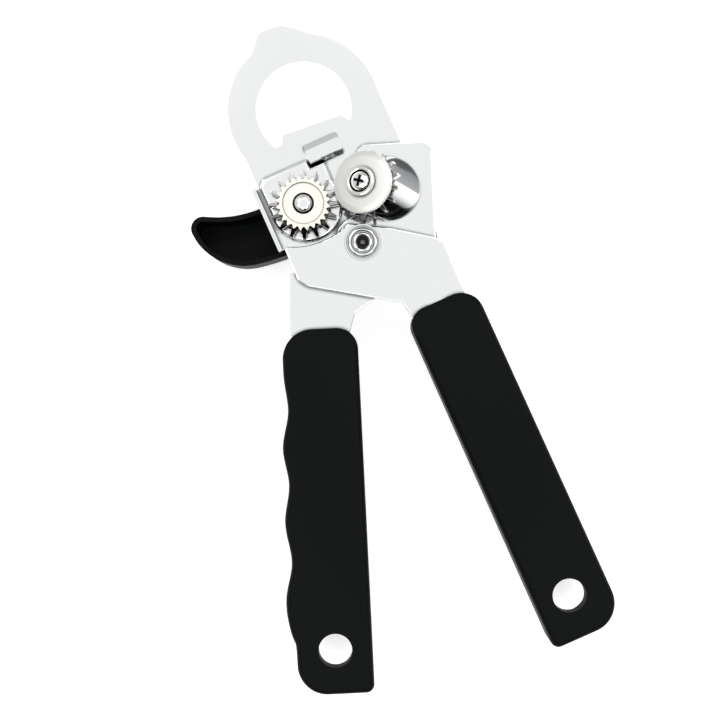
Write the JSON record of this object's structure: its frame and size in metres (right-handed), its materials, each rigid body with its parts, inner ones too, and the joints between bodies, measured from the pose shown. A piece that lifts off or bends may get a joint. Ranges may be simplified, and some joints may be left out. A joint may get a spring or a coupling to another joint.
{
  "type": "manual can opener",
  "caption": "Hand can opener: crossing steel arms with black grips, toothed feed wheel, tilted cutting disc, winged knob and bottle-opener loop.",
  "frame": {"origin": "on the surface that the tool lies on, knob down, under the middle of its outline", "axes": "+Z out of the front face with the wheels, +Y towards the bottle-opener loop, +X towards the right grip"},
  "size_m": [0.1284, 0.2012, 0.036],
  "materials": {
    "chromed_sheet": "bright chrome plate on pressed steel sheet",
    "plain_steel": "plain turned steel",
    "cutter_steel": "satin hardened steel",
    "gear_steel": "sintered steel, nickel plated",
    "nickel_wheel": "warm matt nickel plate",
    "black_plastic": "fine matt moulded plastic"
  },
  "bodies": {
    "feed_arm": {"feed_arm_plate": "chromed_sheet", "loop_plate": "chromed_sheet", "wheel_plate": "chromed_sheet", "shaft_bush": "plain_steel", "tang_spacer": "plain_steel", "tang_rivets": "plain_steel", "right_grip": "black_plastic", "pivot_rivet": "chromed_sheet", "pivot_washer": "plain_steel"},
    "cutter_arm": {"cutter_arm_plate": "chromed_sheet", "left_grip": "black_plastic", "cutter_stud": "plain_steel", "stud_washer": "plain_steel", "cup_washer": "chromed_sheet", "cutter_screw": "chromed_sheet"},
    "cutting_wheel": {"cutting_disc": "cutter_steel", "gear_sleeve": "plain_steel", "cutter_gear": "gear_steel"},
    "crank": {"crank_shaft": "plain_steel", "thrust_washer": "plain_steel", "drive_gear": "gear_steel", "feed_wheel": "nickel_wheel", "knob_spring_washer": "plain_steel", "knob_shell": "black_plastic", "knob_core": "plain_steel", "shaft_end_washer": "plain_steel"}
  },
  "joints": [
    {"name": "arm_pivot", "type": "hinge", "parent": "feed_arm", "child": "cutter_arm", "pos_m": [-0.01094, 0.03443, 0.0205], "axis": [0, 0, 1], "range_deg": [-14, 7]},
    {"name": "crank_turn", "type": "hinge", "parent": "feed_arm", "child": "crank", "pos_m": [-0.02858, 0.04552, 0.0205], "axis": [0, 0, 1], "continuous": true},
    {"name": "cutter_spin", "type": "hinge", "parent": "cutter_arm", "child": "cutting_wheel", "pos_m": [-0.01105, 0.05085, 0.0319], "axis": [-0.4051, 0.0369, 0.9135], "continuous": true}
  ],
  "couplings": [
    {"joint": "cutter_spin", "follows": "crank_turn", "ratio": -1}
  ]
}
